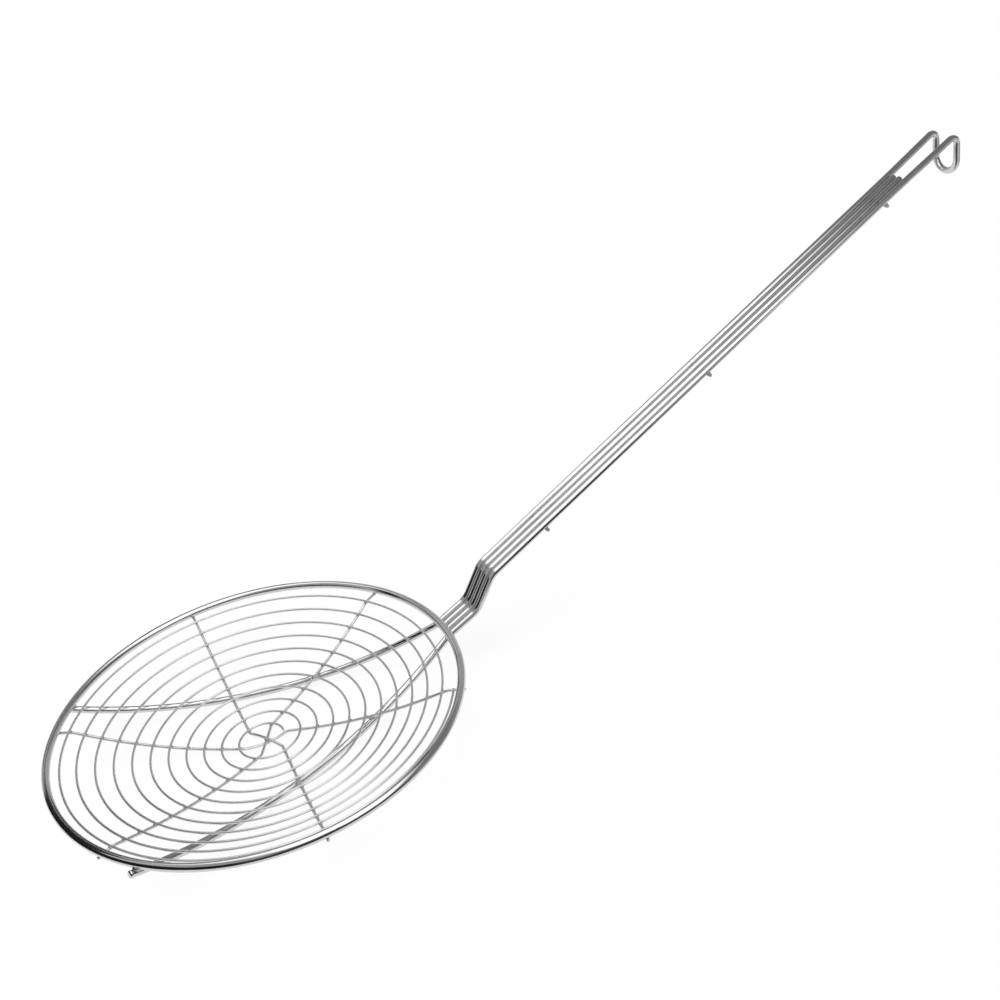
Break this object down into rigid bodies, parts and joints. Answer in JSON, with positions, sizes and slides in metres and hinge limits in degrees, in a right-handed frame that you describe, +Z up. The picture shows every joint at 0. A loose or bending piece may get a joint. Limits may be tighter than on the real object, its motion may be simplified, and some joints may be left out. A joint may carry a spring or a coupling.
{
  "type": "spider skimmer",
  "caption": "Shallow bowl of spiral wire on bent spokes inside a thick round rim, on a long wire handle that ends in a hanging hook, for lifting food out of hot liquid.",
  "frame": {"origin": "lowest point of the hub, on the bowl's axis", "axes": "+Z up along the bowl's axis, +X along the handle from the bowl to the hook"},
  "size_m": [0.5385, 0.204, 0.1819],
  "materials": {
    "bright_steel": "bright drawn wire"
  },
  "bodies": {
    "root": {"rim_ring": "bright_steel", "mesh_spiral": "bright_steel", "spoke_wire_lower": "bright_steel", "spoke_wire_middle": "bright_steel", "spoke_wire_upper": "bright_steel", "frame_wire": "bright_steel", "inner_wire_left": "bright_steel", "inner_wire_right": "bright_steel", "cross_bar_front": "bright_steel", "cross_bar_middle": "bright_steel", "cross_bar_rear": "bright_steel"}
  },
  "joints": []
}
